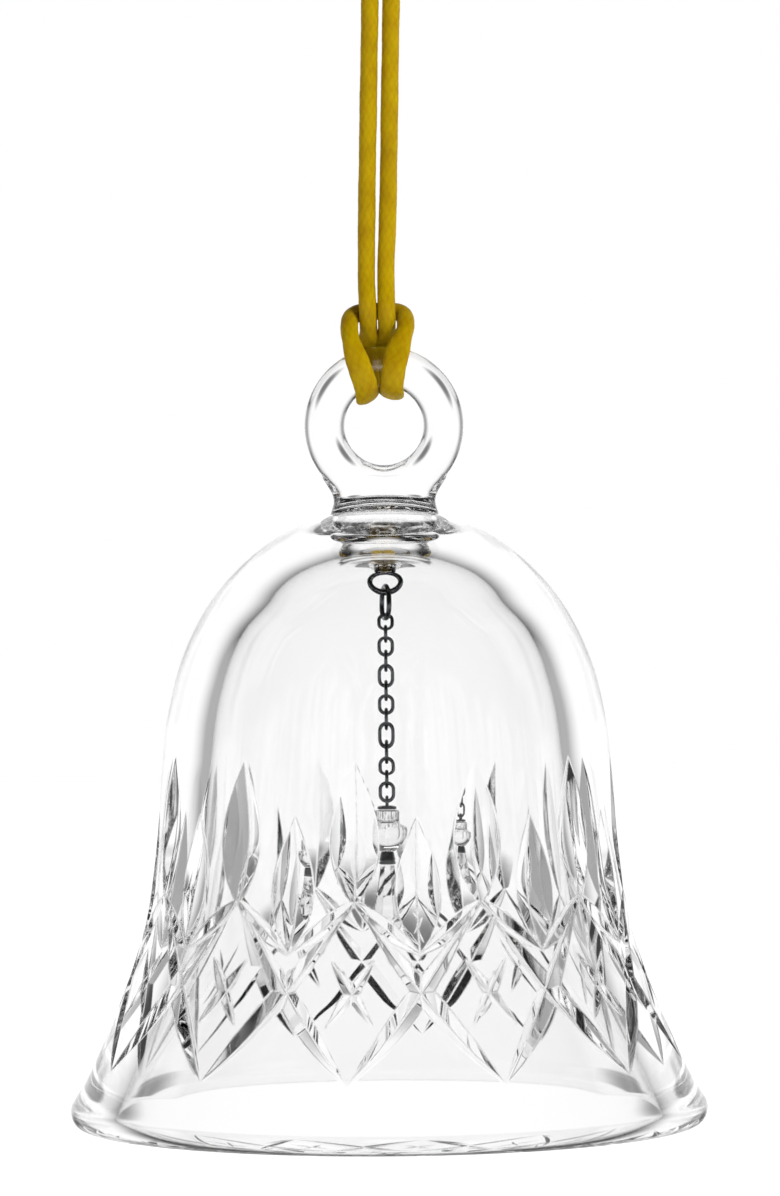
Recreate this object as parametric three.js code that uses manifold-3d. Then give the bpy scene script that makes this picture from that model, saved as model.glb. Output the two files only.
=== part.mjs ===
// A cut-glass bell that hangs on a looped cord, in millimetres, +Z up.
// The origin is the hang point: the middle of the knot that closes the cord.
// Heights named "...Height" are measured up from the rim's bottom face, and up() turns them into Z.
import * as THREE from 'three';
import { mergeVertices } from 'three/addons/utils/BufferGeometryUtils.js';
import Module from 'manifold-3d';

const wasm = await Module();
wasm.setup();

// Driving dimensions
const RIM_TO_HANG = 133.55;

const CROWN_HEIGHT = 69.8;
const BOSS_RADIUS = 5.1;
const BOSS_HEIGHT = 63.0;
const FOOT_INNER_RADIUS = 31.2;
const FOOT_OUTER_RADIUS = 34.9;

const RING_HEIGHT = 79.05;
const RING_RADIUS = 6.76;
const RING_TUBE = 2.24;
const NECK_FOOT_HEIGHT = 70.15;
const NECK_TOP_HEIGHT = 73.4;
const NECK_DEPTH_RATIO = 0.5;

const SEAT_GAP = 0.1;
const DISC_RADIUS = 3.4;
const DISC_THICKNESS = 0.25;
const COLLAR_RADIUS = 1.25;
const COLLAR_THICKNESS = 0.45;
const EYE_HEIGHT = 60.85;
const EYE_HALF_WIDTH = 1.75;
const EYE_HALF_LENGTH = 1.16;
const EYE_WIRE = 0.3;

const JUMP_RADIUS = 1.6;
const JUMP_WIRE = 0.285;
const JUMP_TURN = 15;
const LINK_COUNT = 13;
const LINK_LENGTH = 2.46;
const LINK_WIDTH = 1.9;
const LINK_WIRE = 0.2;
const WIRE_PLAY = 0.06;

const CLAPPER_EYE_RADIUS = 0.5;
const CLAPPER_EYE_WIRE = 0.19;
const PLATE_RADIUS = 1.1;
const PLATE_THICKNESS = 0.35;
const BULB_LENGTH = 4.45;
const BULB_RADIUS = 2.3;
const BULB_NECK_RADIUS = 1.4;
const FERRULE_RADIUS = 0.95;
const FERRULE_LENGTH = 1.45;
const DROP_RADIUS = 1.9;
const DROP_LENGTH = 9.3;

const CORD_RADIUS = 1.0;
const CORD_SIDES = 8;
const CORD_STEPS = 80;
const KNOT_RADIUS = 3.3;
const KNOT_HALF_HEIGHT = 3.2;
const KNOT_DEPTH_RATIO = 0.85;
const TAIL_LENGTH = 6.0;

// Facets
const SHELL_SIDES = 48;
const OUTSIDE_STEPS = 26;
const INSIDE_STEPS = 20;
const RING_STEPS = 36;
const RING_TUBE_SIDES = 12;
const NECK_SIDES = 24;
const NECK_STEPS = 5;
const SMALL_SIDES = 20;
const DROP_SIDES = 8;
const LOOP_STEPS = 20;
const LINK_STEPS = 16;
const WIRE_SIDES = 8;

const up = (height) => height - RIM_TO_HANG;

// Materials
const metal = { color: 0xc9ccd0, roughness: 0.12, metalness: 1.0 };
const satin = { color: 0x8a8c90, roughness: 0.35, metalness: 1.0 };
const glass = { color: 0xe9f1f2, roughness: 0.02, metalness: 0.0, transparent: true, opacity: 0.35 };
const resin = { color: 0xf0f2ee, roughness: 0.1, metalness: 0.0, transparent: true, opacity: 0.5 };
const cotton = { color: 0xc4a608, roughness: 0.7, metalness: 0.0 };

// Shape helpers
function toSolid(geometry) {
  const bare = geometry.clone();
  bare.deleteAttribute('normal');
  bare.deleteAttribute('uv');
  const merged = mergeVertices(bare, 1e-5);
  return new wasm.Manifold(new wasm.Mesh({
    numProp: 3,
    vertProperties: new Float32Array(merged.attributes.position.array),
    triVerts: new Uint32Array(merged.index.array),
  }));
}

function joined(...geometries) {
  const solid = geometries.map(toSolid).reduce((all, next) => all.add(next));
  const mesh = solid.getMesh();
  const geometry = new THREE.BufferGeometry();
  geometry.setAttribute('position', new THREE.BufferAttribute(mesh.vertProperties, 3));
  geometry.setIndex(new THREE.BufferAttribute(mesh.triVerts, 1));
  geometry.computeVertexNormals();
  return geometry;
}

// Even steps along a smooth outline through [radius, height] points.
function smoothed(points, steps) {
  const curve = new THREE.SplineCurve(points.map(([radius, height]) => new THREE.Vector2(radius, height)));
  return curve.getSpacedPoints(steps).map((p) => [p.x, p.y]);
}

// A solid of revolution about Z, its [radius, height] outline listed from the bottom up on the outside.
function turned(outline, sides) {
  const profile = outline.map(([radius, height]) => new THREE.Vector2(Math.max(radius, 0), up(height)));
  return new THREE.LatheGeometry(profile, sides).rotateX(Math.PI / 2);
}

// Round wire or cord along a curve, closed by a flat face at each end.
function wireAlong(route, radius, sides, steps) {
  const section = new THREE.Shape();
  section.absarc(0, 0, radius, 0, 2 * Math.PI);
  const options = { extrudePath: route, steps, curveSegments: sides / 2, bevelEnabled: false };
  return new THREE.ExtrudeGeometry(section, options);
}

// A closed loop of round wire in the XZ plane: an oval, or a long link with straight sides.
function wireLoop(halfWidth, halfLength, wireRadius, turnSteps) {
  const geometry = new THREE.TorusGeometry(halfWidth, wireRadius, WIRE_SIDES, turnSteps);
  const place = geometry.attributes.position;
  const straight = Math.max(halfLength - halfWidth, 0);
  const squeeze = Math.min(halfLength / halfWidth, 1);
  for (let i = 0; i < place.count; i += 1) {
    const turn = Math.sin(Math.atan2(place.getY(i), place.getX(i)));
    const end = Math.abs(turn) < 1e-3 ? 0 : Math.sign(turn);
    place.setY(i, place.getY(i) + halfWidth * turn * (squeeze - 1) + end * straight);
  }
  return geometry.rotateX(Math.PI / 2);
}

function part(name, geometry, finish) {
  const mesh = new THREE.Mesh(geometry, new THREE.MeshStandardMaterial(finish));
  mesh.name = name;
  return mesh;
}

// The bell's wall: a flared outside, a rounded lip with a flat ground foot, and a domed cavity
// with a low round boss under the crown.
function bellShell() {
  const outside = smoothed([
    [34.4, 4.9], [32.3, 9.4], [29.6, 16.0], [27.4, 23.0], [26.2, 31.0], [25.5, 40.0],
    [24.9, 45.7], [23.4, 52.0], [20.8, 57.7], [17.4, 62.2], [13.1, 65.9], [8.0, 68.5], [0, CROWN_HEIGHT],
  ], OUTSIDE_STEPS);
  const boss = [[0, BOSS_HEIGHT], [BOSS_RADIUS - 0.6, BOSS_HEIGHT], [BOSS_RADIUS, BOSS_HEIGHT + 0.15]];
  const inside = smoothed([
    [BOSS_RADIUS + 0.1, 63.3], [7.0, 62.95], [9.0, 62.1], [11.5, 60.6], [14.0, 58.2], [16.4, 54.9],
    [18.6, 49.3], [20.0, 41.0], [20.7, 33.0], [22.4, 23.0], [25.3, 14.0], [29.0, 5.0],
  ], INSIDE_STEPS);
  const foot = [[FOOT_INNER_RADIUS, 0], [FOOT_OUTER_RADIUS, 0]];
  const lip = [[35.7, 0.5], [36, 1.3], [36, 2.3], [35.4, 3.4]];
  return part('bell_shell', turned([...boss, ...inside, ...foot, ...lip, ...outside], SHELL_SIDES), glass);
}

// The handle on the crown: a round ring that runs down into a flattened neck.
function hangingRing() {
  const ring = new THREE.TorusGeometry(RING_RADIUS, RING_TUBE, RING_TUBE_SIDES, RING_STEPS);
  ring.rotateX(Math.PI / 2).translate(0, 0, up(RING_HEIGHT));
  const sides = smoothed([
    [6.5, NECK_FOOT_HEIGHT], [5.85, 70.9], [5.8, 71.7], [5.95, NECK_TOP_HEIGHT],
  ], NECK_STEPS);
  const neck = turned([[0, NECK_FOOT_HEIGHT], ...sides, [0, NECK_TOP_HEIGHT]], NECK_SIDES);
  neck.scale(1, NECK_DEPTH_RATIO, 1);
  return part('hanging_ring', joined(ring, neck), glass);
}

const discTop = BOSS_HEIGHT - SEAT_GAP;
const discBase = discTop - DISC_THICKNESS;

// The bead of clear adhesive between the boss and the eye's collar.
function adhesiveDisc() {
  const outline = [[0, discBase], [DISC_RADIUS - 0.4, discBase], [DISC_RADIUS, discTop], [0, discTop]];
  return part('adhesive_disc', turned(outline, SMALL_SIDES), resin);
}

// The collar bonded under the crown, and the wire eye that it carries.
function eyePeg() {
  const top = discBase - SEAT_GAP;
  const base = top - COLLAR_THICKNESS;
  const collar = turned([[0, base], [COLLAR_RADIUS, base], [COLLAR_RADIUS, top], [0, top]], SMALL_SIDES);
  const eye = wireLoop(EYE_HALF_WIDTH, EYE_HALF_LENGTH, EYE_WIRE, LOOP_STEPS).translate(0, 0, up(EYE_HEIGHT));
  return part('eye_peg', joined(collar, eye), metal);
}

// Each piece of the chain hangs with its top wire just above the bottom wire of the piece before it.
const eyeFloor = EYE_HEIGHT - EYE_HALF_LENGTH;
const jumpTop = eyeFloor + EYE_WIRE + JUMP_WIRE + WIRE_PLAY;
const jumpFloor = jumpTop - 2 * JUMP_RADIUS;
const linkHalf = LINK_LENGTH / 2 - LINK_WIRE;
const linkPitch = 2 * (linkHalf - LINK_WIRE) - WIRE_PLAY;
const firstLink = jumpFloor + JUMP_WIRE + LINK_WIRE + WIRE_PLAY - linkHalf;
const lastFloor = firstLink - (LINK_COUNT - 1) * linkPitch - linkHalf;

function jumpRing() {
  const turn = THREE.MathUtils.degToRad(90 + JUMP_TURN);
  const loop = wireLoop(JUMP_RADIUS, JUMP_RADIUS, JUMP_WIRE, LOOP_STEPS).rotateZ(turn);
  return part('jump_ring', loop.translate(0, 0, up(jumpFloor + JUMP_RADIUS)), metal);
}

function chainLinks() {
  return Array.from({ length: LINK_COUNT }, (_, i) => {
    const loop = wireLoop(LINK_WIDTH / 2 - LINK_WIRE, linkHalf, LINK_WIRE, LINK_STEPS);
    loop.rotateZ((i % 2) * Math.PI / 2).translate(0, 0, up(firstLink - i * linkPitch));
    return part(`chain_link_${String(i + 1).padStart(2, '0')}`, loop, metal);
  });
}

// The clapper from its eye down: a wire eye on a plate, a crystal bulb with a neck, a satin ferrule
// and a long faceted crystal drop, widest low down.
function clapper() {
  const eyeCentre = lastFloor + LINK_WIRE + CLAPPER_EYE_WIRE + WIRE_PLAY - CLAPPER_EYE_RADIUS;
  const eye = wireLoop(CLAPPER_EYE_RADIUS, CLAPPER_EYE_RADIUS, CLAPPER_EYE_WIRE, LINK_STEPS);
  eye.rotateZ(Math.PI / 2).translate(0, 0, up(eyeCentre));
  const plateTop = eyeCentre - CLAPPER_EYE_RADIUS + 0.1;
  const plateBase = plateTop - PLATE_THICKNESS;
  const plate = turned([
    [0, plateBase], [PLATE_RADIUS, plateBase], [PLATE_RADIUS, plateTop], [0, plateTop],
  ], SMALL_SIDES);
  const top = plateBase - SEAT_GAP;
  const base = top - BULB_LENGTH;
  const bulb = turned([
    [0, base], [0.85, base], [1.5, top - 3.7], [2.05, top - 2.9], [BULB_RADIUS, top - 2.2],
    [2.2, top - 1.75], [BULB_NECK_RADIUS, top - 1.4], [BULB_NECK_RADIUS, top - 0.2], [1.2, top], [0, top],
  ], SMALL_SIDES);
  const ferruleTop = base - SEAT_GAP;
  const ferruleBase = ferruleTop - FERRULE_LENGTH;
  const ferrule = turned([
    [0, ferruleBase], [FERRULE_RADIUS, ferruleBase], [0.8, ferruleTop], [0, ferruleTop],
  ], SMALL_SIDES);
  const dropTop = ferruleBase - SEAT_GAP;
  const tip = dropTop - DROP_LENGTH;
  const drop = turned([
    [0, tip], [0.3, tip + 0.2], [1.35, tip + 1.6], [DROP_RADIUS, dropTop - 6.0], [1.35, dropTop - 3.6],
    [0.9, dropTop], [0, dropTop],
  ], DROP_SIDES);
  return [
    part('clapper_eye', joined(eye, plate), metal),
    part('clapper_bulb', bulb, glass),
    part('clapper_ferrule', ferrule, satin),
    part('clapper_drop', drop, glass),
  ];
}

// The cord's route from the knot, round the ring as a girth hitch, and back to the knot.
// Points are [x, y, z] from the ring's centre, with -Y towards the front of the bell.
const CORD_ROUTE = [
  [-1.15, 0.0, 51.0], [-1.45, -0.05, 38.0], [-1.75, -0.1, 25.0], [-1.85, -0.4, 17.0],
  [-1.75, -1.05, 13.4], [-1.65, 0.2, 11.0], [-1.65, 2.75, 8.6], [-1.65, 3.5, 6.3],
  [-1.65, 2.7, 4.05], [-1.65, 0.0, 2.92], [-1.85, -2.75, 4.1], [-2.65, -3.6, 6.3],
  [-3.45, -2.9, 8.8], [-3.85, -1.2, 11.0], [-3.5, 0.5, 12.4], [-2.25, 1.6, 13.0],
  [-0.8, 1.75, 13.05],
  [0.7, 1.7, 13.1], [2.2, 0.75, 12.65], [2.55, -1.0, 11.2], [1.8, -2.85, 8.9],
  [1.2, -3.6, 6.4], [0.9, -2.75, 4.15], [0.8, 0.0, 3.27], [0.6, 2.75, 4.15],
  [0.45, 3.5, 6.4], [0.4, 2.75, 8.7], [0.4, 0.2, 11.1], [0.4, -1.05, 13.3],
  [0.35, -0.4, 17.0], [0.65, -0.1, 25.0], [0.95, -0.05, 38.0], [1.25, 0.0, 51.0],
];

function cord() {
  const points = CORD_ROUTE.map(([x, y, z]) => new THREE.Vector3(x, y, z + up(RING_HEIGHT)));
  const route = new THREE.CatmullRomCurve3(points, false, 'centripetal');
  return part('cord', wireAlong(route, CORD_RADIUS, CORD_SIDES, CORD_STEPS), cotton);
}

// The knot around the hang point, with the cord's two short tails standing out of it.
function cordKnot() {
  const body = new THREE.SphereGeometry(KNOT_RADIUS, SMALL_SIDES, SMALL_SIDES / 2);
  body.rotateX(Math.PI / 2).scale(1, KNOT_DEPTH_RATIO, KNOT_HALF_HEIGHT / KNOT_RADIUS);
  const tails = [-1, 1].map((side) => {
    const route = new THREE.CatmullRomCurve3([
      new THREE.Vector3(side * 0.9, 0, KNOT_HALF_HEIGHT - 1.5),
      new THREE.Vector3(side * 1.3, 0, KNOT_HALF_HEIGHT + 1.5),
      new THREE.Vector3(side * 2.6, 0, KNOT_HALF_HEIGHT + TAIL_LENGTH),
    ]);
    return wireAlong(route, CORD_RADIUS, CORD_SIDES, 4);
  });
  return part('cord_knot', joined(body, ...tails), cotton);
}

const bell = new THREE.Group();
bell.add(
  cord(), cordKnot(),
  bellShell(), hangingRing(), adhesiveDisc(), eyePeg(),
  jumpRing(), ...chainLinks(), ...clapper(),
);

export default bell;
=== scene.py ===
import math

import bmesh
import bpy
import numpy as np
from mathutils import Matrix, Vector


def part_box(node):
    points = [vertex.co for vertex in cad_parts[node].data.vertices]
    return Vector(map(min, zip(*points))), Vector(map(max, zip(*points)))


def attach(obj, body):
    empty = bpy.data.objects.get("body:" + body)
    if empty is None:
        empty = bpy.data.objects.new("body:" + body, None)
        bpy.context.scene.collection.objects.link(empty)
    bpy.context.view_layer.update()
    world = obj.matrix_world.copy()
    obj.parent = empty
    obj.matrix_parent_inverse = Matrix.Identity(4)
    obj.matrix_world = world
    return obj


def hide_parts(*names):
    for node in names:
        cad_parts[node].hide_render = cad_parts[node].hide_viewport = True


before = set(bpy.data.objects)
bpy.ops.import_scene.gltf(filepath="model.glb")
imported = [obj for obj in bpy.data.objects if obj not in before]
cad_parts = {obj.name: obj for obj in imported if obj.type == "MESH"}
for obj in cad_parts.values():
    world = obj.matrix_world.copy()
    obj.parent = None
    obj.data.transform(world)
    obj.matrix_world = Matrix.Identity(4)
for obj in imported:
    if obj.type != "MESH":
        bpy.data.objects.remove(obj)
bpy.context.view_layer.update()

MM = 0.001

# Places that come from the frame: the rim's plane, the ring and the chain, all on the Z axis.
RIM_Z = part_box("bell_shell")[0][2]
RING_TOP_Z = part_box("hanging_ring")[1][2]
RING_OUTER = 9.0 * MM
RING_TUBE = 2.26 * MM
RING_RADIUS = RING_OUTER - RING_TUBE
RING_Z = RING_TOP_Z - RING_OUTER


def up(height):
    """Z of a height in millimetres above the rim's plane."""
    return RIM_Z + height * MM


# ---------------------------------------------------------------- camera
CAMERA_DISTANCE = 0.572
HORIZON_HEIGHT = 59.5
VIEW_HEIGHT = 0.1356
SENSOR = 36.0
SIDE_STEP = 0.00053
LEAN = math.radians(0.45)


def make_camera():
    data = bpy.data.cameras.new("front_camera")
    data.sensor_fit = "VERTICAL"
    data.sensor_height = SENSOR
    data.lens = SENSOR * CAMERA_DISTANCE / VIEW_HEIGHT
    data.clip_start = 0.01
    data.clip_end = 20
    camera = bpy.data.objects.new("front_camera", data)
    camera.location = (SIDE_STEP, -CAMERA_DISTANCE, up(HORIZON_HEIGHT))
    camera.rotation_mode = "XYZ"
    camera.rotation_euler = (Matrix.Rotation(math.pi / 2, 3, "X") @ Matrix.Rotation(-LEAN, 3, "Z")).to_euler()
    bpy.context.scene.collection.objects.link(camera)
    bpy.context.scene.camera = camera


make_camera()


# ---------------------------------------------------------------- mesh helpers
def catmull_rom(points, steps, alpha=0.5):
    """Points evenly along a Catmull-Rom curve through the given ones (centripetal where alpha is 0.5)."""
    p = np.asarray(points, float)
    p = np.vstack([2 * p[0] - p[1], p, 2 * p[-1] - p[-2]])
    dense = []
    for a, b, c, d in zip(p[:-3], p[1:-2], p[2:-1], p[3:]):
        t0 = 0.0
        t1 = t0 + max(np.linalg.norm(b - a), 1e-9) ** alpha
        t2 = t1 + max(np.linalg.norm(c - b), 1e-9) ** alpha
        t3 = t2 + max(np.linalg.norm(d - c), 1e-9) ** alpha
        t = np.linspace(t1, t2, 60, endpoint=False)[:, None]
        ab = (t1 - t) / (t1 - t0) * a + (t - t0) / (t1 - t0) * b
        bc = (t2 - t) / (t2 - t1) * b + (t - t1) / (t2 - t1) * c
        cd = (t3 - t) / (t3 - t2) * c + (t - t2) / (t3 - t2) * d
        abc = (t2 - t) / (t2 - t0) * ab + (t - t0) / (t2 - t0) * bc
        bcd = (t3 - t) / (t3 - t1) * bc + (t - t1) / (t3 - t1) * cd
        dense.append((t2 - t) / (t2 - t1) * abc + (t - t1) / (t2 - t1) * bcd)
    dense.append(p[-2][None])
    line = np.vstack(dense)
    run = np.concatenate([[0], np.cumsum(np.linalg.norm(np.diff(line, axis=0), axis=1))])
    at = np.linspace(0, run[-1], steps + 1)
    return np.column_stack([np.interp(at, run, line[:, i]) for i in range(line.shape[1])])


def new_object(name, vertices, faces, smooth_angle=None):
    mesh = bpy.data.meshes.new(name)
    mesh.from_pydata([tuple(v) for v in vertices], [], [tuple(f) for f in faces])
    mesh.validate()
    obj = bpy.data.objects.new(name, mesh)
    bpy.context.scene.collection.objects.link(obj)
    if smooth_angle is not None:
        mesh.shade_smooth()
        mesh.set_sharp_from_angle(angle=math.radians(smooth_angle))
    return obj


def grid_faces(rows, columns, wrap_rows=False):
    """Quads over a grid of rows by columns of points; the columns always wrap round."""
    faces = []
    last = rows if wrap_rows else rows - 1
    for i in range(last):
        here = i * columns
        there = (i + 1) % rows * columns
        for j in range(columns):
            k = (j + 1) % columns
            faces.append((here + j, here + k, there + k, there + j))
    return faces


def revolve(name, outline, sides, smooth_angle=30):
    """A body of revolution about Z. The outline is [radius, z] in metres, and runs up the outside."""
    outline = np.asarray(outline, float)
    turn = np.linspace(0, 2 * np.pi, sides, endpoint=False)
    vertices = []
    rows = []
    for radius, z in outline:
        if radius < 1e-7:
            rows.append([len(vertices)])
            vertices.append((0, 0, z))
        else:
            rows.append(list(range(len(vertices), len(vertices) + sides)))
            vertices.extend(np.column_stack([radius * np.cos(turn), radius * np.sin(turn), np.full(sides, z)]))
    faces = []
    count = len(rows)
    ends = len(rows[0]) == 1 and len(rows[-1]) == 1
    for i in range(count - 1 if ends else count):
        a, b = rows[i], rows[(i + 1) % count]
        for j in range(sides):
            k = (j + 1) % sides
            if len(a) == 1 and len(b) == 1:
                continue
            if len(a) == 1:
                faces.append((a[0], b[k], b[j]))
            elif len(b) == 1:
                faces.append((a[j], a[k], b[0]))
            else:
                faces.append((a[j], a[k], b[k], b[j]))
    return new_object(name, vertices, faces, smooth_angle)


RIGHT = np.array([1.0, 0, 0])
BACK = np.array([0, 1.0, 0])
UP = np.array([0, 0, 1.0])


def tidy_normals(obj):
    bm = bmesh.new()
    bm.from_mesh(obj.data)
    bmesh.ops.recalc_face_normals(bm, faces=bm.faces)
    bm.to_mesh(obj.data)
    bm.free()


def smooth_edges(obj, angle):
    obj.data.shade_smooth()
    obj.data.set_sharp_from_angle(angle=math.radians(angle))


def settle(obj, body, slot, *nodes):
    """The piece rides on a body and stands for CAD nodes, which it hides. The slot is not used."""
    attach(obj, body)
    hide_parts(*nodes)


def boolean(target, other, operation):
    modifier = target.modifiers.new("boolean", "BOOLEAN")
    modifier.object = other
    modifier.operation = operation
    modifier.solver = "MANIFOLD"
    modifier.material_mode = "TRANSFER"
    bpy.context.view_layer.objects.active = target
    with bpy.context.temp_override(object=target, active_object=target, selected_objects=[target]):
        bpy.ops.object.modifier_apply(modifier=modifier.name)
    bpy.data.objects.remove(other, do_unlink=True)


# ---------------------------------------------------------------- the bell's glass
OUTSIDE = [
    [34.4, 4.9], [32.3, 9.4], [29.6, 16.0], [27.4, 23.0], [26.2, 31.0], [25.5, 40.0],
    [24.9, 45.7], [23.4, 52.0], [20.8, 57.7], [17.4, 62.2], [13.1, 65.9], [8.0, 68.5], [0, 69.8],
]
INSIDE = [
    [5.2, 63.4], [5.5, 63.6], [7.0, 63.3], [9.0, 62.45], [11.5, 60.75], [14.0, 58.25], [16.4, 54.95], [18.6, 49.3],
    [20.0, 41.0], [20.7, 33.0], [22.4, 23.0], [25.3, 14.0], [29.0, 5.0],
]
BOSS = [[0, 63.15], [4.1, 63.15], [4.7, 63.17], [5.05, 63.23], [5.15, 63.3]]
LIP = [[31.0, 0.15], [31.25, 0], [34.7, 0], [35.2, 0.12], [35.7, 0.5], [36, 1.2], [36, 2.3], [35.4, 3.4]]
GLASS_SIDES = 384


def bell_wall():
    outside = catmull_rom(OUTSIDE, 150)
    inside = catmull_rom(INSIDE, 120)
    boss = catmull_rom(BOSS, 14)
    lip = catmull_rom(LIP, 28)
    outline = np.vstack([boss, inside, lip, outside])
    outline[:, 1] = RIM_Z / MM + outline[:, 1]
    return revolve("bell_glass", outline * MM, GLASS_SIDES, None)


OUTER_LINE = catmull_rom([[36, 2.3], [35.4, 3.4], *OUTSIDE], 600)


def on_wall(turn, height):
    """The point and outward normal of the outside at an angle from the front, in millimetres."""
    order = np.argsort(OUTER_LINE[:, 1])
    radius = np.interp(height, OUTER_LINE[order, 1], OUTER_LINE[order, 0])
    step = 0.3
    above = np.interp(height + step, OUTER_LINE[order, 1], OUTER_LINE[order, 0])
    below = np.interp(height - step, OUTER_LINE[order, 1], OUTER_LINE[order, 0])
    slope = (above - below) / (2 * step)
    out = np.array([math.sin(turn), -math.cos(turn), 0.0])
    normal = out - slope * np.array([0, 0, 1.0])
    normal /= np.linalg.norm(normal)
    point = radius * out + np.array([0, 0, height])
    return point, normal


def groove(start, end, depth, half_angle, belly=0.5, steps=24, bow=0.0):
    """The solid that a V-edged wheel takes out between two places, each (angle in degrees, height)."""
    angles = np.radians(np.linspace(start[0], end[0], steps + 1))
    heights = np.linspace(start[1], end[1], steps + 1)
    s = np.linspace(0, 1, steps + 1)
    angles = angles + math.radians(bow) * np.sin(np.pi * s)
    power = math.log(0.5) / math.log(belly)
    deep = depth * np.sin(np.pi * s ** power) ** 0.9
    lift = 0.35
    spread = math.tan(math.radians(half_angle))
    placed = [on_wall(a, h) for a, h in zip(angles, heights)]
    points = np.array([p for p, _ in placed])
    along = np.gradient(points, axis=0)
    along /= np.linalg.norm(along, axis=1)[:, None]
    rows = []
    for p, (_, normal), t, d in zip(points, placed, along, deep):
        side = np.cross(normal, t)
        side /= np.linalg.norm(side)
        d = d - 0.01
        rows.append([p - d * normal, p + lift * normal - (d + lift) * spread * side,
                     p + lift * normal + (d + lift) * spread * side])
    return np.array(rows)


def cutter(name, rows_list, material):
    vertices, faces = [], []
    for rows in rows_list:
        base = len(vertices)
        vertices.extend(rows.reshape(-1, 3) * MM + np.array([0, 0, RIM_Z]))
        n = len(rows)
        faces += [tuple(base + i for i in f) for f in grid_faces(n, 3)]
        faces.append((base, base + 2, base + 1))
        last = base + 3 * (n - 1)
        faces.append((last, last + 1, last + 2))
    obj = new_object(name, vertices, faces)
    obj.data.materials.append(material)
    return obj


STAR_COUNT = 12
SPACING = 360 / STAR_COUNT
PHASE = -7.8
STAR_HEIGHT = 26.6
TALL_TOP = 42.0
SHORT_TOP = 35.9
SHORT_FOOT = 21.4
NET_FOOT = 7.3
MITRE_HEIGHT = 16.9
MITRE_REACH = 4.0


def cut_families():
    """Each family holds the cuts, twelve alike, that don't cross one another."""
    half = SPACING / 2
    families = []
    for kind in range(8):
        cuts = []
        for k in range(STAR_COUNT):
            at = PHASE + k * SPACING
            sign = 1 if kind % 2 else -1
            if kind == 0:
                cuts.append(groove((at, TALL_TOP), (at, STAR_HEIGHT - 0.6), 1.45, 64, belly=0.56))
            elif kind == 1:
                cuts.append(groove((at + half, SHORT_TOP), (at + half, SHORT_FOOT - 0.4), 1.4, 62.5, belly=0.56))
            elif kind in (2, 3):
                cuts.append(groove((at - sign, STAR_HEIGHT + 0.9), (at + sign * SPACING, NET_FOOT), 1.05, 49,
                                   belly=0.62, steps=40))
            elif kind in (4, 5):
                cuts.append(groove((at - sign * 0.7, STAR_HEIGHT + 0.4), (at + sign * (half + 0.4), SHORT_FOOT - 0.5),
                                   0.75, 50, belly=0.5, bow=-sign * 0.6))
            else:
                reach = math.degrees(MITRE_REACH * 0.62 / 29)
                cuts.append(groove((at - sign * reach, MITRE_HEIGHT + MITRE_REACH * 0.9),
                                   (at + sign * reach, MITRE_HEIGHT - MITRE_REACH * 0.9), 0.55, 52))
        families.append(cuts)
    return families


def ring_distance(p):
    x, y, z = p[:, 0], p[:, 1], p[:, 2]
    return np.hypot(np.hypot(x, z - RING_Z) - RING_RADIUS, y) - RING_TUBE


NECK_SIDE = catmull_rom([
    [7.4, 67.4], [6.7, 68.0], [6.35, 68.5], [6.15, 69.0], [5.95, 69.6], [5.75, 70.4], [5.85, 71.2], [6.0, 72.1],
    [6.0, 73.6],
], 80)
NECK_FRONT = catmull_rom([
    [6.0, 68.4], [4.7, 68.9], [3.8, 69.5], [3.1, 70.2], [2.6, 71.0], [2.28, 71.9], [1.9, 73.0], [1.6, 74.0],
], 80)
NECK_BASE = 67.4
NECK_TOP = 72.8


def neck_distance(p):
    """About how far points are outside the neck, an oval column with a filleted foot that ends inside the ring."""
    height = (p[:, 2] - RIM_Z) / MM
    half_width = np.interp(height, NECK_SIDE[:, 1], NECK_SIDE[:, 0]) * MM
    half_depth = np.interp(height, NECK_FRONT[:, 1], NECK_FRONT[:, 0]) * MM
    spread = np.hypot(p[:, 0] / half_width, p[:, 1] / half_depth)
    side = (spread - 1) * np.minimum(half_width, half_depth)
    top = p[:, 2] - up(NECK_TOP)
    base = up(NECK_BASE) - p[:, 2]
    return np.maximum(np.maximum(side, top), base)


def blended(p, soft=1.0 * MM):
    a, b = ring_distance(p), neck_distance(p)
    h = np.clip(0.5 + 0.5 * (b - a) / soft, 0, 1)
    return b * (1 - h) + a * h - soft * h * (1 - h)


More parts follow.
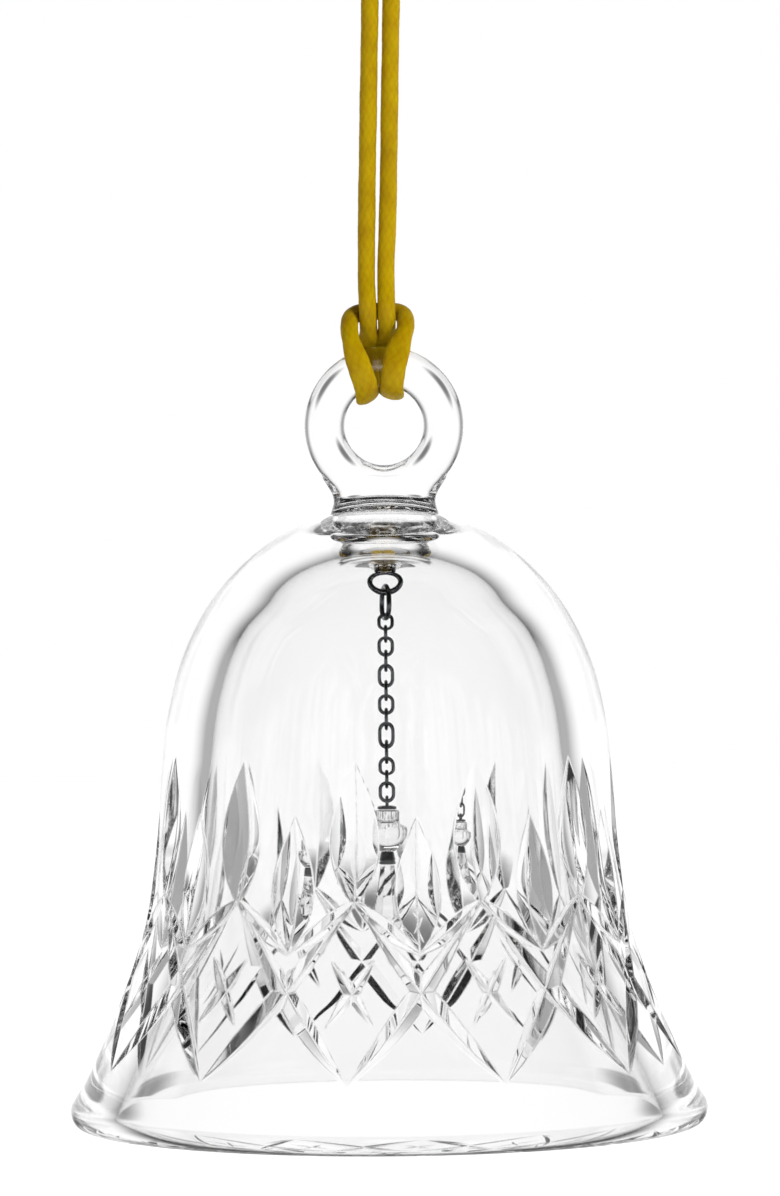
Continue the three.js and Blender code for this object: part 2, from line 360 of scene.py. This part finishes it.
def ring_and_neck():
    """The ring and its neck as one body: a coarse union, remeshed, then drawn onto the blended shape."""
    ring = np.linspace(0, 2 * np.pi, 96, endpoint=False)
    tube = np.linspace(0, 2 * np.pi, 32, endpoint=False)
    vertices = []
    for a in ring:
        for b in tube:
            reach = RING_RADIUS + RING_TUBE * math.cos(b)
            vertices.append((reach * math.sin(a), RING_TUBE * math.sin(b), RING_Z + reach * math.cos(a)))
    body = new_object("ring_body", vertices, grid_faces(96, 32, True))
    column = [[0, NECK_BASE], *NECK_SIDE[::8], [0, 73.6]]
    neck = revolve("neck_body", [[r * MM, up(h)] for r, h in column], 64, None)
    for v in neck.data.vertices:
        v.co.y *= 0.6
    for obj in (body, neck):
        tidy_normals(obj)
    boolean(body, neck, "UNION")
    remesh = body.modifiers.new("remesh", "REMESH")
    remesh.mode = "VOXEL"
    remesh.voxel_size = 0.17 * MM
    with bpy.context.temp_override(object=body, active_object=body, selected_objects=[body]):
        bpy.ops.object.modifier_apply(modifier=remesh.name)
    count = len(body.data.vertices)
    p = np.empty(count * 3)
    body.data.vertices.foreach_get("co", p)
    p = p.reshape(-1, 3)
    step = 1e-6
    for _ in range(6):
        f = blended(p)
        g = np.column_stack([(blended(p + step * axis) - blended(p - step * axis)) / (2 * step) for axis in np.eye(3)])
        size = np.maximum((g ** 2).sum(1), 0.2)
        p -= np.clip(f / size, -0.3 * MM, 0.3 * MM)[:, None] * g
    body.data.vertices.foreach_set("co", p.ravel())
    body.data.update()
    return body


def make_bell(glass, cut_glass):
    bell = bell_wall()
    bell.data.materials.append(glass)
    tidy_normals(bell)
    handle = ring_and_neck()
    handle.data.materials.append(glass)
    tidy_normals(handle)
    boolean(bell, handle, "UNION")
    for i, cuts in enumerate(cut_families()):
        tool = cutter(f"wheel_{i}", cuts, cut_glass)
        tidy_normals(tool)
        boolean(bell, tool, "DIFFERENCE")
    smooth_edges(bell, 16)
    bell.visible_shadow = False
    settle(bell, "bell", "crystal_glass", "bell_shell", "hanging_ring")


# ---------------------------------------------------------------- metal pieces
EYE_WIRE = 0.3 * MM
EYE_HALF_LENGTH = 1.16 * MM
JUMP_WIRE = 0.285 * MM
LINK_WIRE = 0.2 * MM
CLAPPER_EYE_WIRE = 0.19 * MM
CLAPPER_EYE_RADIUS = 0.5 * MM
JUMP_TURN = math.radians(15)


def fine_loop(name, node, wire, turns=96, sides=24):
    """A smooth loop of round wire that fills its CAD node's box: a ring, or a link with straight sides."""
    low, high = (np.array(v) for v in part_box(node))
    size = high - low
    across = 0 if size[0] > size[1] else 1
    half_width = size[across] / 2 - wire
    half_length = size[2] / 2 - wire
    straight = max(half_length - half_width, 0)
    centre = (low + high) / 2
    reach = np.zeros(3)
    reach[across] = 1
    thick = np.zeros(3)
    thick[1 - across] = 1
    rise = np.array([0, 0, 1.0])
    arc = np.linspace(-np.pi / 2, np.pi / 2, turns // 2 + 1)
    line, outward = [], []
    for side in (1, -1):
        for a in arc:
            turn = a if side > 0 else a + np.pi
            c, s = math.cos(turn), math.sin(turn)
            outward.append(c * reach + s * rise)
    count = len(outward)
    for i, out in enumerate(outward):
        lift = straight * np.sign(round(out @ rise, 6))
        line.append(centre + half_width * (out @ reach) * reach
                    + (min(half_length, half_width) * (out @ rise) + lift) * rise)
    vertices = []
    for p, out in zip(line, outward):
        for j in range(sides):
            b = 2 * np.pi * j / sides
            vertices.append(p + wire * (math.cos(b) * out + math.sin(b) * thick))
    obj = new_object(name, vertices, grid_faces(count, sides, True), 60)
    tidy_normals(obj)
    return obj


def make_chain(metal):
    low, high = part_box("jump_ring")
    radius = (high[2] - low[2]) / 2 - JUMP_WIRE
    reach = np.array([-math.sin(JUMP_TURN), math.cos(JUMP_TURN), 0])
    thick = np.array([math.cos(JUMP_TURN), math.sin(JUMP_TURN), 0])
    centre = np.array([0, 0, (low[2] + high[2]) / 2])
    jump = wire_ring("jump_ring_wire", centre, radius, radius, JUMP_WIRE, reach, thick)
    smooth_edges(jump, 60)
    jump.data.materials.append(metal)
    settle(jump, "jump_ring", "polished_metal", "jump_ring")
    for node in sorted(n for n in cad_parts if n.startswith("chain_link_")):
        link = fine_loop(node.replace("chain_link", "link_wire"), node, LINK_WIRE, 72, 20)
        link.data.materials.append(metal)
        settle(link, node, "polished_metal", node)


def wire_ring(name, centre, half_width, half_length, wire, reach, thick, turns=96, sides=24):
    """A closed oval of round wire: reach is the unit vector across it, and thick the one through it."""
    vertices = []
    for a in np.linspace(0, 2 * np.pi, turns, endpoint=False):
        flat = half_width * math.cos(a) * reach + half_length * math.sin(a) * UP
        out = half_length * math.cos(a) * reach + half_width * math.sin(a) * UP
        out /= np.linalg.norm(out)
        for b in np.linspace(0, 2 * np.pi, sides, endpoint=False):
            vertices.append(centre + flat + wire * (math.cos(b) * out + math.sin(b) * thick))
    ring = new_object(name, vertices, grid_faces(turns, sides, True))
    tidy_normals(ring)
    return ring


def make_peg(metal):
    """The collar bonded under the boss, and the eye that is formed in one with it."""
    low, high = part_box("eye_peg")
    top = up(BOSS[0][1]) - 0.03 * MM
    base = high[2] - 0.45 * MM
    outline = [[0, -0.12], [0.55, -0.1], [0.9, -0.04], [1.12, 0], [1.25, 0.1]]
    rim = [[1.25, (top - base) / MM - 0.08], [1.15, (top - base) / MM], [0, (top - base) / MM]]
    peg = revolve("collar_and_eye", [[r * MM, base + z * MM] for r, z in outline + rim], 48, None)
    half_length = EYE_HALF_LENGTH
    half_width = high[0] - EYE_WIRE
    centre = np.array([0, 0, low[2] + EYE_WIRE + half_length])
    eye = wire_ring("eye_wire", centre, half_width, half_length, EYE_WIRE, RIGHT, BACK)
    tidy_normals(peg)
    peg.data.materials.append(metal)
    boolean(peg, eye, "UNION")
    smooth_edges(peg, 40)
    settle(peg, "bell", "polished_metal", "eye_peg")


def make_adhesive(resin):
    """A bead of clear adhesive that has crept out round the collar and set in a meniscus."""
    top = up(BOSS[0][1]) - 0.02 * MM
    outline = [[1.27, 0], [1.27, -0.62], [1.4, -0.56], [1.6, -0.4], [2.0, -0.24], [2.6, -0.14], [3.2, -0.08],
               [3.4, 0]]
    bead = revolve("adhesive_bead", [[r * MM, top + z * MM] for r, z in outline], 96, 35)
    tidy_normals(bead)
    for v in bead.data.vertices:
        turn = math.atan2(v.co.y, v.co.x)
        out = (math.hypot(v.co.x, v.co.y) / MM - 1.27) / 2.13
        uneven = 1 + out * (0.05 * math.sin(2 * turn + 0.6) + 0.03 * math.sin(5 * turn))
        v.co.x *= uneven
        v.co.y *= uneven
    bead.data.materials.append(resin)
    settle(bead, "bell", "clear_adhesive", "adhesive_disc")


def make_clapper_eye(metal):
    """The clapper's wire eye, on the small round plate that carries the bulb."""
    low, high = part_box("clapper_eye")
    base = low[2] - 0.08 * MM
    outline = [[0, 0], [0.95, 0], [1.08, 0.05], [1.1, 0.14], [1.06, 0.3], [0.9, 0.38], [0.5, 0.43], [0, 0.43]]
    plate = revolve("eye_plate", [[r * MM, base + z * MM] for r, z in outline], 64, None)
    tidy_normals(plate)
    plate.data.materials.append(metal)
    centre = np.array([0, 0, high[2] - CLAPPER_EYE_WIRE - CLAPPER_EYE_RADIUS])
    eye = wire_ring("cap_eye", centre, CLAPPER_EYE_RADIUS, CLAPPER_EYE_RADIUS, CLAPPER_EYE_WIRE, BACK, RIGHT, 64, 20)
    boolean(plate, eye, "UNION")
    smooth_edges(plate, 40)
    settle(plate, "clapper", "polished_metal", "clapper_eye")


def make_bulb(crystal):
    """The clapper's crystal bulb: a neck over a rounded bowl."""
    low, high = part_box("clapper_bulb")
    neck = [[1.2, -0.03], [1.36, -0.15], [1.4, -0.35], [1.4, -1.25], [1.5, -1.45], [1.75, -1.58]]
    bowl = catmull_rom([[2.16, -1.72], [2.3, -1.98], [2.29, -2.35], [2.06, -2.95], [1.55, -3.7], [1.0, -4.25],
                        [0.8, -4.4]], 40)
    outline = [[0, -4.4], *bowl[::-1], *neck[::-1], [0, -0.03]]
    bulb = revolve("bulb", [[r * MM, high[2] + z * MM] for r, z in outline], 96, 35)
    tidy_normals(bulb)
    bulb.data.materials.append(crystal)
    settle(bulb, "clapper", "crystal_glass", "clapper_bulb")


def make_ferrule(satin):
    low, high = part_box("clapper_ferrule")
    base, top = low[2], high[2] + 0.1 * MM
    wide = high[0]
    height = top - base
    outline = [[0, base], [wide - 0.1 * MM, base], [wide, base + 0.1 * MM], [wide, base + 0.28 * MM],
               [wide - 0.08 * MM, base + 0.34 * MM], [wide - 0.08 * MM, base + 0.46 * MM],
               [wide - 0.02 * MM, base + 0.52 * MM], [wide - 0.2 * MM, base + 0.92 * height],
               [wide - 0.28 * MM, top], [0, top]]
    ferrule = revolve("ferrule", outline, 64, 35)
    tidy_normals(ferrule)
    ferrule.data.materials.append(satin)
    settle(ferrule, "clapper", "satin_metal", "clapper_ferrule")


DROP_SIDES = 8
DROP_ROWS = [[0.82, 0.99], [1.35, 0.62], [1.9, 0.35], [1.35, 0.17], [0.3, 0.02]]


def make_drop(crystal):
    """A crystal drop, widest low down, with flat facets that meet in worn edges."""
    low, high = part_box("clapper_drop")
    base, height = low[2], high[2] - low[2] + 0.08 * MM
    rows = [[radius * MM, base + share * height] for radius, share in DROP_ROWS[::-1]]
    outline = [[0, base], *rows, [0, rows[-1][1]]]
    drop = revolve("crystal_drop", outline, DROP_SIDES, None)
    tidy_normals(drop)
    bm = bmesh.new()
    bm.from_mesh(drop.data)
    bmesh.ops.rotate(bm, cent=(0, 0, 0), matrix=Matrix.Rotation(math.pi / DROP_SIDES, 3, "Z"), verts=bm.verts)
    bmesh.ops.bevel(bm, geom=list(bm.edges), offset=0.035 * MM, segments=2, affect="EDGES")
    bm.to_mesh(drop.data)
    bm.free()
    drop.data.materials.append(crystal)
    settle(drop, "clapper", "crystal_glass", "clapper_drop")


# ---------------------------------------------------------------- cord
CORD_ROUTE = [
    (-1.15, 0.0, 51.0), (-1.45, -0.05, 38.0), (-1.75, -0.1, 25.0), (-1.85, -0.4, 17.0),
    (-1.75, -1.05, 13.4), (-1.65, 0.2, 11.0), (-1.65, 2.75, 8.6), (-1.65, 3.5, 6.3),
    (-1.65, 2.7, 4.05), (-1.65, 0.0, 2.92), (-1.85, -2.75, 4.1), (-2.65, -3.6, 6.3),
    (-3.45, -2.9, 8.8), (-3.85, -1.2, 11.0), (-3.5, 0.5, 12.4), (-2.25, 1.6, 13.0),
    (-0.8, 1.75, 13.05),
    (0.7, 1.7, 13.1), (2.2, 0.75, 12.65), (2.55, -1.0, 11.2), (1.8, -2.85, 8.9),
    (1.2, -3.6, 6.4), (0.9, -2.75, 4.15), (0.8, 0.0, 3.27), (0.6, 2.75, 4.15),
    (0.45, 3.5, 6.4), (0.4, 2.75, 8.7), (0.4, 0.2, 11.1), (0.4, -1.05, 13.3),
    (0.35, -0.4, 17.0), (0.65, -0.1, 25.0), (0.95, -0.05, 38.0), (1.25, 0.0, 51.0),
]
CORD_RADIUS = 1.0 * MM
BRAID_PITCH = 13.6 * MM
BRAID_STRANDS = 16
PRESS = 0.3
WIDEN = 0.42


def frames_along(points, first=(0.3, 1.0, 0.1)):
    """Two normals that don't twist, at each point of a line."""
    tangents = np.gradient(points, axis=0)
    tangents /= np.linalg.norm(tangents, axis=1)[:, None]
    normal = np.cross(tangents[0], first)
    normals = []
    for t in tangents:
        normal = normal - (normal @ t) * t
        normal /= np.linalg.norm(normal)
        normals.append(normal)
    normals = np.array(normals)
    return normals, np.cross(tangents, normals)


def braid_relief(turn, run):
    """The height, 0 to 1, of a round braid whose strands wind both ways and pass over and under."""
    per_way = BRAID_STRANDS / 2
    wind = 2 * np.pi * run / BRAID_PITCH
    right = per_way * (turn + wind) / 2
    left = per_way * (turn - wind) / 2
    on_top = 0.5 + 0.5 * np.tanh(4 * np.sin(right) * np.sin(left))
    high = np.abs(np.sin(right)) ** 0.6
    low = np.abs(np.sin(left)) ** 0.6
    return on_top * high + (1 - on_top) * low


def pressed(points, centres):
    """The hitch's cord pressed flat against the ring: closer to it, thinner towards it and wider across."""
    x, z = centres[:, 0], centres[:, 2] - RING_Z
    far = np.hypot(x, z)
    nearest = np.column_stack([x / far * RING_RADIUS, np.zeros(len(x)), RING_Z + z / far * RING_RADIUS])
    towards = nearest - centres
    distance = np.linalg.norm(towards, axis=1)
    towards /= distance[:, None]
    gap = distance - RING_TUBE - CORD_RADIUS
    touch = np.clip(1 - (gap - 0.15 * MM) / (0.9 * MM), 0, 1)
    touch = touch * touch * (3 - 2 * touch)
    offset = points - centres[:, None, :]
    along = np.einsum("ijk,ik->ij", offset, towards)
    thin = offset - (PRESS * touch)[:, None, None] * along[..., None] * towards[:, None, :]
    line = np.gradient(centres, axis=0)
    across = np.cross(line, towards)
    across /= np.linalg.norm(across, axis=1)[:, None]
    side = np.einsum("ijk,ik->ij", offset, across)
    wide = thin + (WIDEN * touch)[:, None, None] * side[..., None] * across[:, None, :]
    shift = touch * (np.minimum(gap, 0.15 * MM) - 0.03 * MM + PRESS * CORD_RADIUS)
    return centres[:, None, :] + wide + shift[:, None, None] * towards[:, None, :]


def braided_tube(name, line, material, sides=48, in_hitch=False):
    """A braided cord along a dense line of points."""
    normals, binormals = frames_along(line)
    run = np.concatenate([[0], np.cumsum(np.linalg.norm(np.diff(line, axis=0), axis=1))])
    turn = np.linspace(0, 2 * np.pi, sides, endpoint=False)
    u, v = np.meshgrid(turn, run)
    height = braid_relief(u, v)
    uneven = 0.014 * np.sin(v / (1.9 * MM) + 0.7 * np.sin(u)) + 0.012 * np.sin(v / (0.83 * MM) + u + 1.0)
    r = CORD_RADIUS * (0.965 + 0.035 * height + uneven)
    ring = np.cos(u)[..., None] * normals[:, None, :] + np.sin(u)[..., None] * binormals[:, None, :]
    points = line[:, None, :] + r[..., None] * ring
    if in_hitch:
        points = pressed(points, line)
    faces = grid_faces(len(line), sides)
    faces.append(tuple(range(sides))[::-1])
    faces.append(tuple((len(line) - 1) * sides + j for j in range(sides)))
    tube = new_object(name, points.reshape(-1, 3), faces, 180)
    tidy_normals(tube)
    # The braid's height is kept for the cord's colour, where it paints shade: darker and more orange in the grooves
    # between the strands.
    layer = tube.data.attributes.new("braid_groove_shade", "FLOAT", "POINT")
    layer.data.foreach_set("value", height.ravel().astype(np.float32))
    tube.data.materials.append(material)
    return tube


def make_cord(material):
    route = np.array(CORD_ROUTE) * MM + RING_Z * UP
    line = catmull_rom(route, 1400)
    tube = braided_tube("cord_braid", line, material, in_hitch=True)
    knot = make_knot(material)
    settle(tube, "cord", "cotton_cord", "cord")


KNOT_TURNS = 1.35
KNOT_REACH = 2.3
KNOT_DEPTH = 0.82


def make_knot(material):
    """An overhand knot in the doubled cord: its two wraps, and the tails above it."""
    strands = []
    for side in (-1, 1):
        route = [(side * 1.15, 0.0, -3.4), (side * 1.5, -0.3, -2.9)]
        for t in np.linspace(0, 1, 24):
            turn = 2 * math.pi * KNOT_TURNS * t + 0.4
            reach = KNOT_REACH + 0.25 * math.sin(math.pi * t)
            rise = -2.2 + 3.6 * t + side * (0.285 - 0.57 * t) + side * 0.5
            route.append((reach * math.cos(turn), KNOT_DEPTH * reach * math.sin(turn), rise))
        last = route[-1]
        route += [(0.3 * last[0] + side * 0.75, 0.3 * last[1], 2.6), (side * 1.25, 0.05, 4.2),
                  (side * 1.9, 0.0, 6.4), (side * 2.5, 0.1, 8.9)]
        line = catmull_rom(np.array(route) * MM, 380)
        strands.append(braided_tube(f"knot_strand_{side + 1}", line, material, sides=32))
    knot, other = strands
    with bpy.context.temp_override(object=knot, active_object=knot, selected_editable_objects=strands):
        bpy.ops.object.join()
    knot.name = "overhand_knot"
    settle(knot, "cord", "cotton_cord", "cord_knot")
    return knot


# ---------------------------------------------------------------- materials
def blank_material(name):
    material = bpy.data.materials.new(name)
    material.use_nodes = True
    tree = material.node_tree
    return material, tree, tree.nodes["Principled BSDF"]


def noise_at(tree, scale, detail=3.0, roughness=0.5):
    place = tree.nodes.new("ShaderNodeTexCoord")
    noise = tree.nodes.new("ShaderNodeTexNoise")
    noise.inputs["Scale"].default_value = scale
    noise.inputs["Detail"].default_value = detail
    noise.inputs["Roughness"].default_value = roughness
    tree.links.new(place.outputs["Object"], noise.inputs["Vector"])
    return noise


def bump_from(tree, shader, height, strength, distance):
    bump = tree.nodes.new("ShaderNodeBump")
    bump.inputs["Strength"].default_value = strength
    bump.inputs["Distance"].default_value = distance
    tree.links.new(height, bump.inputs["Height"])
    tree.links.new(bump.outputs["Normal"], shader.inputs["Normal"])
    return bump


def ramp_between(tree, value, low, high, start=0.3, end=0.7):
    ramp = tree.nodes.new("ShaderNodeValToRGB")
    ramp.color_ramp.elements[0].position = start
    ramp.color_ramp.elements[0].color = (*low, 1)
    ramp.color_ramp.elements[1].position = end
    ramp.color_ramp.elements[1].color = (*high, 1)
    tree.links.new(value, ramp.inputs["Fac"])
    return ramp


def glass_material(name, ior, ripple, worn=0.0):
    material, tree, shader = blank_material(name)
    shader.inputs["Base Color"].default_value = (0.992, 0.992, 0.992, 1)
    shader.inputs["Transmission Weight"].default_value = 1.0
    shader.inputs["IOR"].default_value = ior
    shader.inputs["Roughness"].default_value = 0.0
    noise = noise_at(tree, 140, 2.0)
    bump = bump_from(tree, shader, noise.outputs["Fac"], ripple, 0.0002)
    if worn:
        bevel = tree.nodes.new("ShaderNodeBevel")
        bevel.samples = 8
        bevel.inputs["Radius"].default_value = worn
        tree.links.new(bevel.outputs["Normal"], bump.inputs["Normal"])
    return material


def metal_material(name, low, high, roughness, scratch):
    material, tree, shader = blank_material(name)
    shader.inputs["Metallic"].default_value = 1.0
    tone = noise_at(tree, 900, 4.0)
    ramp = ramp_between(tree, tone.outputs["Fac"], low, high)
    tree.links.new(ramp.outputs["Color"], shader.inputs["Base Color"])
    wear = noise_at(tree, 2500, 3.0)
    spread = tree.nodes.new("ShaderNodeMapRange")
    spread.inputs["To Min"].default_value = roughness * 0.7
    spread.inputs["To Max"].default_value = roughness * 1.5
    tree.links.new(wear.outputs["Fac"], spread.inputs["Value"])
    tree.links.new(spread.outputs["Result"], shader.inputs["Roughness"])
    bump_from(tree, shader, wear.outputs["Fac"], scratch, 0.00002)
    return material


def cord_material():
    material, tree, shader = blank_material("waxed_cotton")
    # Painted shade: the braid's height makes the colour darker and more orange low in the grooves between the strands,
    # where shade falls.
    braid_groove_shade = tree.nodes.new("ShaderNodeAttribute")
    braid_groove_shade.attribute_name = "braid_groove_shade"
    tone = ramp_between(tree, braid_groove_shade.outputs["Fac"], (0.325, 0.2, 0.0), (0.38, 0.26, 0.0005), 0.1, 0.9)
    patch = noise_at(tree, 420, 4.0, 0.6)
    shade = ramp_between(tree, patch.outputs["Fac"], (0.8, 0.72, 0.6), (1.0, 1.0, 1.0), 0.3, 0.6)
    mix = tree.nodes.new("ShaderNodeMix")
    mix.data_type = "RGBA"
    mix.blend_type = "MULTIPLY"
    mix.inputs["Factor"].default_value = 1.0
    tree.links.new(tone.outputs["Color"], mix.inputs["A"])
    tree.links.new(shade.outputs["Color"], mix.inputs["B"])
    tree.links.new(mix.outputs["Result"], shader.inputs["Base Color"])
    shader.inputs["Roughness"].default_value = 0.6
    shader.inputs["Sheen Weight"].default_value = 0.02
    shader.inputs["Sheen Roughness"].default_value = 0.4
    shader.inputs["Specular IOR Level"].default_value = 0.12
    shader.inputs["Subsurface Weight"].default_value = 0.3
    shader.inputs["Subsurface Radius"].default_value = (1.0, 0.35, 0.05)
    shader.inputs["Subsurface Scale"].default_value = 0.6 * MM
    fibre = noise_at(tree, 6000, 3.0)
    bump_from(tree, shader, fibre.outputs["Fac"], 0.35, 0.00003)
    return material


# ---------------------------------------------------------------- studio
FLOOR_DROP = 0.07
DARK = 0.02


def make_floor():
    """A pale floor well below the bell. Glass and metal see the studio through it, so it casts no white up."""
    size = 3.0
    z = RIM_Z - FLOOR_DROP
    corners = [(-size, -size, z), (size, -size, z), (size, size, z), (-size, size, z)]
    floor = new_object("floor", corners, [(0, 1, 2, 3)])
    material, tree, shader = blank_material("pale_floor")
    shader.inputs["Base Color"].default_value = (0.9, 0.9, 0.9, 1)
    shader.inputs["Roughness"].default_value = 0.7
    shader.inputs["Emission Color"].default_value = (1, 1, 1, 1)
    shader.inputs["Emission Strength"].default_value = 0.86
    grain = noise_at(tree, 60, 2.0)
    bump_from(tree, shader, grain.outputs["Fac"], 0.02, 0.001)
    floor.data.materials.append(material)
    floor.visible_transmission = False
    floor.visible_glossy = False


def area_light(name, azimuth, elevation, distance, size, power, colour=(1, 1, 1)):
    """A soft light that faces the bell from a direction round it: 0 is behind the bell, 180 in front."""
    away = direction(azimuth, elevation)
    middle = Vector((0, 0, up(60)))
    data = bpy.data.lights.new(name, "AREA")
    data.shape = "RECTANGLE"
    data.size, data.size_y = size
    data.energy = power
    data.color = colour
    light = bpy.data.objects.new(name, data)
    light.location = middle + distance * away
    light.rotation_euler = (-away).to_track_quat("-Z", "Y").to_euler()
    light.visible_camera = False
    light.visible_transmission = False
    light.visible_glossy = False
    bpy.context.scene.collection.objects.link(light)


def direction(azimuth, elevation):
    a, e = math.radians(azimuth), math.radians(elevation)
    return Vector((-math.sin(a) * math.cos(e), math.cos(a) * math.cos(e), math.sin(e)))


# A white strip round the horizon behind the bell: degrees where it fades in azimuth and in elevation.
STRIP = {"wide": (72, 98), "under": (-16, -6), "over": (14, 26), "brightness": 0.4}
# The lit screens round the bell: azimuth, elevation, inner and outer half angle in degrees, brightness.
SCREENS = [
    (0, 5, 32, 60, 1.1),
    (0, -35, 26, 44, 1.0),
    (45, -25, 9, 17, 0.95),
    (315, -25, 9, 17, 0.95),
    (90, -5, 9, 16, 0.85),
    (270, -5, 9, 16, 0.85),
    (225, -15, 12, 22, 0.95),
    (135, -15, 12, 22, 0.9),
    (180, -5, 5, 12, 1.6),
]
# The black flags that stand before the white wall: azimuth, elevation, inner and outer half angle, depth.
FLAGS = [
    (21, -12, 1, 10, 0.8),
    (339, -12, 1, 10, 0.8),
]


def math_node(tree, operation, *values):
    node = tree.nodes.new("ShaderNodeMath")
    node.operation = operation
    for socket, value in zip(node.inputs, values):
        if isinstance(value, (int, float)):
            socket.default_value = value
        else:
            tree.links.new(value, socket)
    return node.outputs["Value"]


def eased(tree, value, start, end):
    """0 at start and 1 at end, with a smooth step between."""
    fade = tree.nodes.new("ShaderNodeMapRange")
    fade.interpolation_type = "SMOOTHSTEP"
    fade.inputs["From Min"].default_value = start
    fade.inputs["From Max"].default_value = end
    tree.links.new(value, fade.inputs["Value"])
    return fade.outputs["Result"]


def horizon_strip(tree, place):
    axes = tree.nodes.new("ShaderNodeSeparateXYZ")
    tree.links.new(place, axes.inputs[0])
    across = math_node(tree, "MULTIPLY", axes.outputs["X"], axes.outputs["X"])
    along = math_node(tree, "MULTIPLY", axes.outputs["Y"], axes.outputs["Y"])
    flat = math_node(tree, "SQRT", math_node(tree, "ADD", math_node(tree, "ADD", across, along), 1e-6))
    facing = math_node(tree, "DIVIDE", axes.outputs["Y"], flat)
    lit, unlit = (math.cos(math.radians(v)) for v in STRIP["wide"])
    wide = eased(tree, facing, unlit, lit)
    unlit, lit = (math.sin(math.radians(v)) for v in STRIP["under"])
    above = eased(tree, axes.outputs["Z"], unlit, lit)
    lit, unlit = (math.sin(math.radians(v)) for v in STRIP["over"])
    below = eased(tree, axes.outputs["Z"], unlit, lit)
    tall = math_node(tree, "MULTIPLY", above, below)
    return math_node(tree, "MULTIPLY", math_node(tree, "MULTIPLY", wide, tall), STRIP["brightness"])


def round_patch(tree, place, azimuth, elevation, inner, outer):
    """1 within the inner half angle of a direction, and 0 beyond the outer one."""
    dot = tree.nodes.new("ShaderNodeVectorMath")
    dot.operation = "DOT_PRODUCT"
    dot.inputs[1].default_value = direction(azimuth, elevation)
    tree.links.new(place, dot.inputs[0])
    return eased(tree, dot.outputs["Value"], math.cos(math.radians(outer)), math.cos(math.radians(inner)))


def make_world():
    """A dark studio with a white wall and screens, seen in the glass and the metal. The camera itself sees white."""
    world = bpy.data.worlds.new("studio")
    bpy.context.scene.world = world
    world.use_nodes = True
    tree = world.node_tree
    background = tree.nodes["Background"]
    place = tree.nodes.new("ShaderNodeTexCoord").outputs["Generated"]
    level = math_node(tree, "MAXIMUM", horizon_strip(tree, place), DARK)
    for *where, strength in SCREENS:
        lit = math_node(tree, "MULTIPLY", round_patch(tree, place, *where), strength)
        level = math_node(tree, "MAXIMUM", level, lit)
    for *where, depth in FLAGS:
        hidden = math_node(tree, "MULTIPLY", round_patch(tree, place, *where), depth)
        level = math_node(tree, "MULTIPLY", level, math_node(tree, "SUBTRACT", 1.0, hidden))
    path = tree.nodes.new("ShaderNodeLightPath")
    mix = tree.nodes.new("ShaderNodeMix")
    mix.data_type = "FLOAT"
    tree.links.new(path.outputs["Is Camera Ray"], mix.inputs["Factor"])
    tree.links.new(level, mix.inputs["A"])
    mix.inputs["B"].default_value = 1.0
    background.inputs["Color"].default_value = (1, 1, 1, 1)
    tree.links.new(mix.outputs["Result"], background.inputs["Strength"])


def make_studio():
    make_floor()
    make_world()
    area_light("key", 222, 28, 1.0, (0.35, 0.5), 9)
    area_light("fill", 130, 10, 0.9, (0.2, 0.6), 1.2, (1.0, 0.85, 0.7))
    scene = bpy.context.scene
    scene.view_settings.view_transform = "Standard"
    scene.cycles.max_bounces = 24
    scene.cycles.transmission_bounces = 24
    scene.cycles.glossy_bounces = 12
    scene.cycles.transparent_max_bounces = 16


cotton = cord_material()
make_cord(cotton)
crystal = glass_material("crystal", 1.52, 0.02, 0.35 * MM)
cut_crystal = glass_material("cut_crystal", 1.52, 0.02, 0.35 * MM)
clapper_crystal = glass_material("clapper_crystal", 1.6, 0.02)
resin = glass_material("clear_adhesive", 1.49, 0.08)
chrome = metal_material("bright_plating", (0.14, 0.145, 0.155), (0.24, 0.245, 0.26), 0.06, 0.05)
satin = metal_material("satin_plating", (0.3, 0.31, 0.32), (0.42, 0.43, 0.44), 0.35, 0.15)
make_bell(crystal, cut_crystal)
make_peg(chrome)
make_adhesive(resin)
make_chain(chrome)
make_clapper_eye(chrome)
make_bulb(clapper_crystal)
make_ferrule(satin)
make_drop(clapper_crystal)
make_studio()
